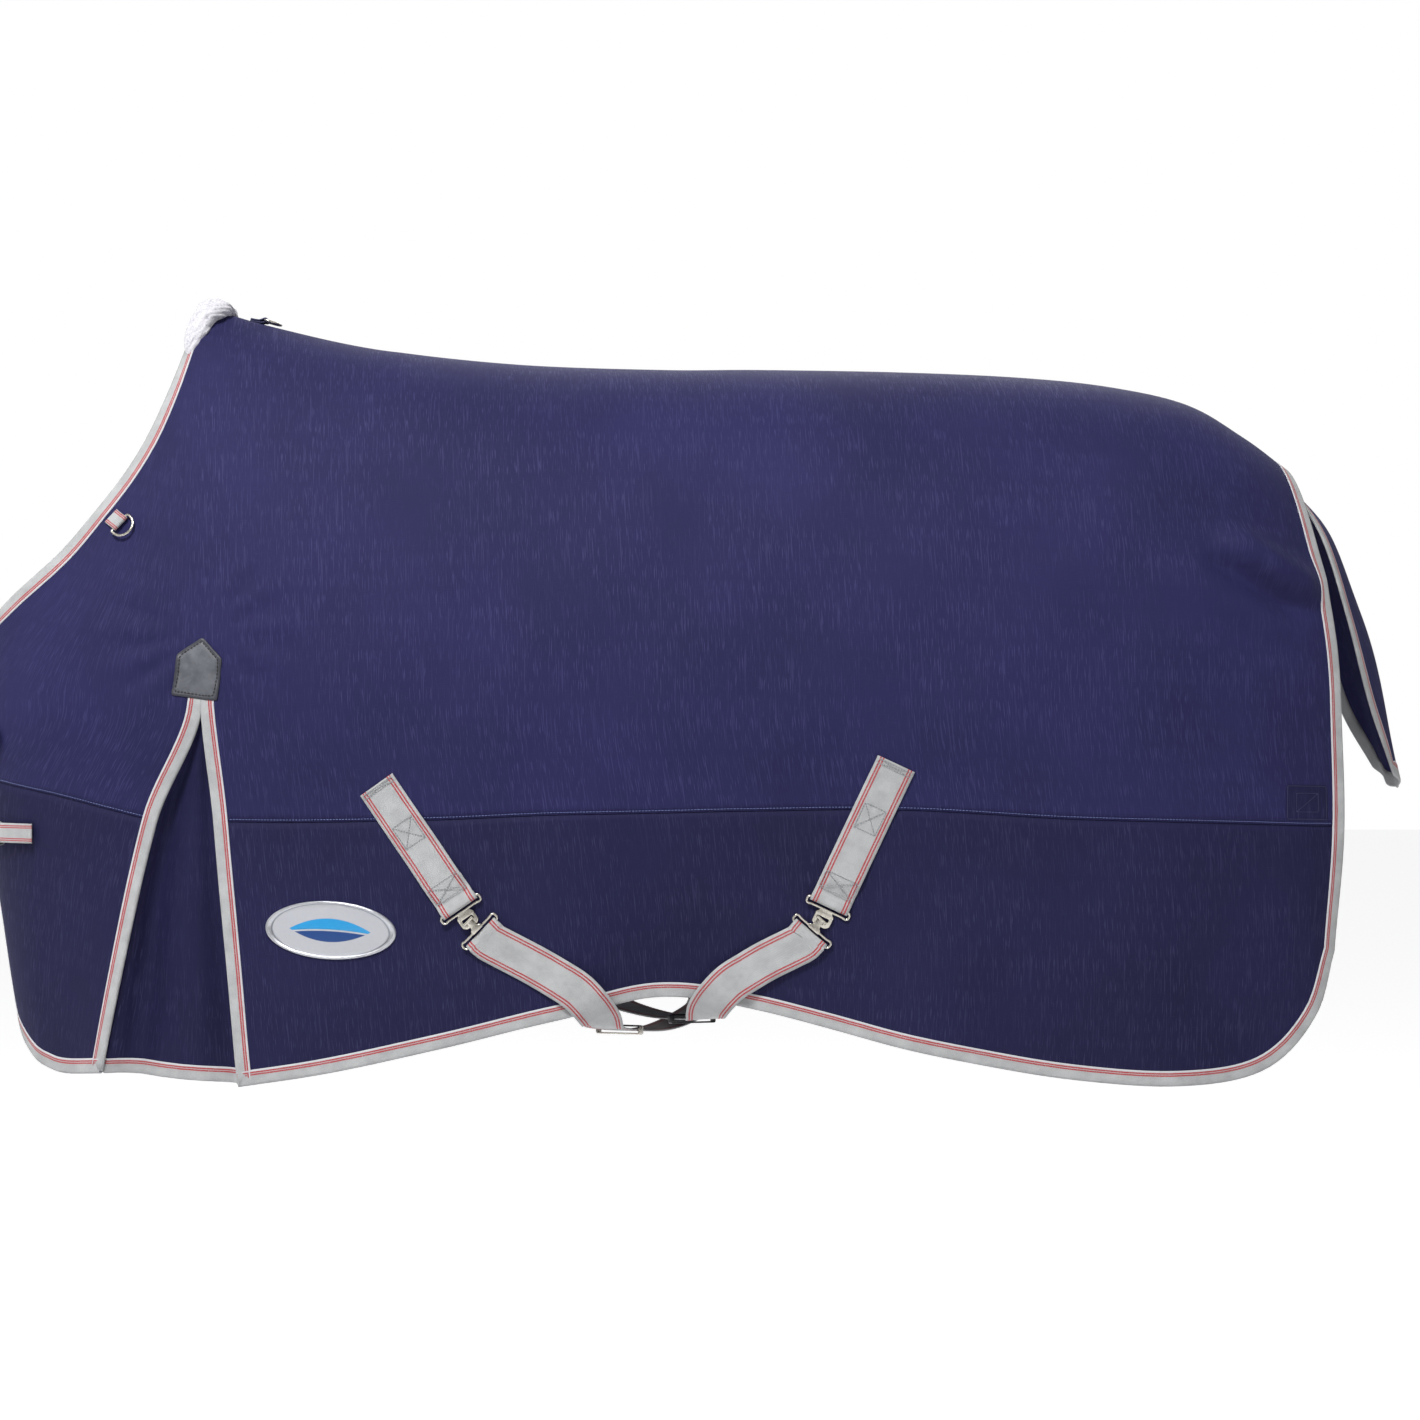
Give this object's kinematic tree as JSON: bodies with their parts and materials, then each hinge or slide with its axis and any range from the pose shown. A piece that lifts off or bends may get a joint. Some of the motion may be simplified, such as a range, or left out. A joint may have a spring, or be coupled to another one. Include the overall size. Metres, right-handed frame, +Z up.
{
  "type": "turnout rug",
  "caption": "Turnout rug for a horse: shaped shell and lining with shoulder gussets, bound edges, chest straps, crossed belly straps and a tail flap.",
  "frame": {"origin": "inner face of the lining on the spine, mid-back, where the rug rests on the horse", "axes": "+X along the back towards the tail, +Y to the horse's right, +Z up"},
  "size_m": [1.8679, 0.6236, 1.0037],
  "materials": {
    "navy_shell": "navy coated polyester, plain weave, matt",
    "lining": "dark smooth nylon lining",
    "tape": "light grey ribbed tape with red lines",
    "webbing": "light grey woven webbing with red stripes",
    "patch": "dark grey grained synthetic leather, black stitching",
    "fleece": "white long-pile fleece",
    "nickel": "nickel plated steel, worn satin",
    "black_metal": "black painted steel",
    "badge": "silver moulded badge with a blue device"
  },
  "bodies": {
    "rug": {"lining": "lining", "shell_upper": "navy_shell", "side_panel_left": "navy_shell", "side_panel_right": "navy_shell", "chest_panel_left": "navy_shell", "chest_panel_right": "navy_shell", "neck_binding": "tape", "front_binding_left": "tape", "front_binding_right": "tape", "gusset_front_binding_left": "tape", "gusset_front_binding_right": "tape", "gusset_rear_binding_left": "tape", "gusset_rear_binding_right": "tape", "hem_binding_left": "tape", "hem_binding_right": "tape", "shoulder_gusset_left": "navy_shell", "shoulder_gusset_right": "navy_shell", "gusset_hem_binding_left": "tape", "gusset_hem_binding_right": "tape", "shoulder_patch_left": "patch", "shoulder_patch_right": "patch", "leg_ring_patch_left": "navy_shell", "leg_ring_patch_right": "navy_shell", "badge": "badge", "neck_ring_tab_left": "webbing", "neck_ring_tab_right": "webbing", "leg_ring_tab_left": "webbing", "leg_ring_tab_right": "webbing", "wither_ring_tab": "webbing", "wither_fleece_pad": "fleece", "surcingle_chape_front": "webbing", "surcingle_chape_rear": "webbing", "surcingle_slot_plate_front": "nickel", "surcingle_slot_plate_rear": "nickel", "belly_strap_anchor_front": "webbing", "belly_strap_anchor_rear": "webbing", "chest_strap_upper": "webbing", "chest_chape_upper": "webbing", "chest_buckle_upper": "nickel", "chest_keeper_upper": "webbing", "chest_strap_lower": "webbing", "chest_chape_lower": "webbing", "chest_buckle_lower": "nickel", "chest_keeper_lower": "webbing"},
    "tail_flap": {"tail_flap": "navy_shell", "tail_flap_binding": "tape"},
    "neck_ring_left": {"neck_d_ring_left": "nickel"},
    "leg_ring_left": {"leg_d_ring_left": "nickel"},
    "neck_ring_right": {"neck_d_ring_right": "nickel"},
    "leg_ring_right": {"leg_d_ring_right": "nickel"},
    "wither_ring": {"wither_d_ring": "nickel"},
    "chest_prong_upper": {"chest_buckle_prong_upper": "nickel"},
    "chest_prong_lower": {"chest_buckle_prong_lower": "nickel"},
    "belly_strap_front": {"belly_strap_front": "webbing"},
    "t_hook_front": {"surcingle_t_hook_front": "nickel"},
    "slider_front": {"belly_strap_slider_front": "nickel"},
    "belly_strap_rear": {"belly_strap_rear": "webbing"},
    "t_hook_rear": {"surcingle_t_hook_rear": "nickel"},
    "slider_rear": {"belly_strap_slider_rear": "black_metal"}
  },
  "joints": [
    {"name": "tail_flap_lift", "type": "hinge", "parent": "rug", "child": "tail_flap", "pos_m": [0.752, 0, -0.146], "axis": [0, -1, 0], "range_deg": [0, 110]},
    {"name": "neck_ring_swing_left", "type": "hinge", "parent": "rug", "child": "neck_ring_left", "pos_m": [-0.74065, -0.17447, -0.20107], "axis": [-0.666, -0.1241, -0.7356], "range_deg": [0, 120]},
    {"name": "leg_ring_swing_left", "type": "hinge", "parent": "rug", "child": "leg_ring_left", "pos_m": [0.7351, -0.22304, -0.56039], "axis": [0.891, 0.454, 0], "range_deg": [0, 120]},
    {"name": "neck_ring_swing_right", "type": "hinge", "parent": "rug", "child": "neck_ring_right", "pos_m": [-0.74065, 0.17447, -0.20107], "axis": [0.666, -0.1241, 0.7356], "range_deg": [0, 120]},
    {"name": "leg_ring_swing_right", "type": "hinge", "parent": "rug", "child": "leg_ring_right", "pos_m": [0.7351, 0.22304, -0.56039], "axis": [-0.891, 0.454, 0], "range_deg": [0, 120]},
    {"name": "wither_ring_swing", "type": "hinge", "parent": "rug", "child": "wither_ring", "pos_m": [-0.57717, 0, 0.07013], "axis": [0, -1, 0], "range_deg": [0, 120]},
    {"name": "chest_prong_lift_upper", "type": "hinge", "parent": "rug", "child": "chest_prong_upper", "pos_m": [-0.95587, -0.06496, -0.47569], "axis": [-0.1724, -0.0639, 0.9829], "range_deg": [0, 28]},
    {"name": "chest_prong_lift_lower", "type": "hinge", "parent": "rug", "child": "chest_prong_lower", "pos_m": [-0.92985, -0.0649, -0.59356], "axis": [-0.1683, -0.0543, 0.9842], "range_deg": [0, 28]},
    {"name": "belly_strap_drop_front", "type": "hinge", "parent": "rug", "child": "belly_strap_front", "pos_m": [-0.07, 0.28741, -0.825], "axis": [1, 0, 0], "range_deg": [0, 80]},
    {"name": "belly_strap_drop_rear", "type": "hinge", "parent": "rug", "child": "belly_strap_rear", "pos_m": [-0.07, 0.28741, -0.825], "axis": [1, 0, 0], "range_deg": [0, 80]},
    {"name": "t_hook_tilt_front", "type": "hinge", "parent": "belly_strap_front", "child": "t_hook_front", "pos_m": [-0.27894, -0.29093, -0.70927], "axis": [0.695, -0.0869, 0.7138], "range_deg": [0, 90]},
    {"name": "t_hook_tilt_rear", "type": "hinge", "parent": "belly_strap_rear", "child": "t_hook_rear", "pos_m": [0.12226, -0.29401, -0.70915], "axis": [0.7612, -0.0147, -0.6484], "range_deg": [0, 90]},
    {"name": "slider_move_front", "type": "slide", "parent": "belly_strap_front", "child": "slider_front", "axis": [0.2979, 0.9481, -0.1112], "range_m": [-0.03, 0.03]},
    {"name": "slider_move_rear", "type": "slide", "parent": "belly_strap_rear", "child": "slider_rear", "axis": [-0.3025, 0.9506, -0.0693], "range_m": [-0.03, 0.03]}
  ],
  "couplings": [
    {"joint": "belly_strap_drop_rear", "follows": "belly_strap_drop_front", "ratio": 1}
  ]
}
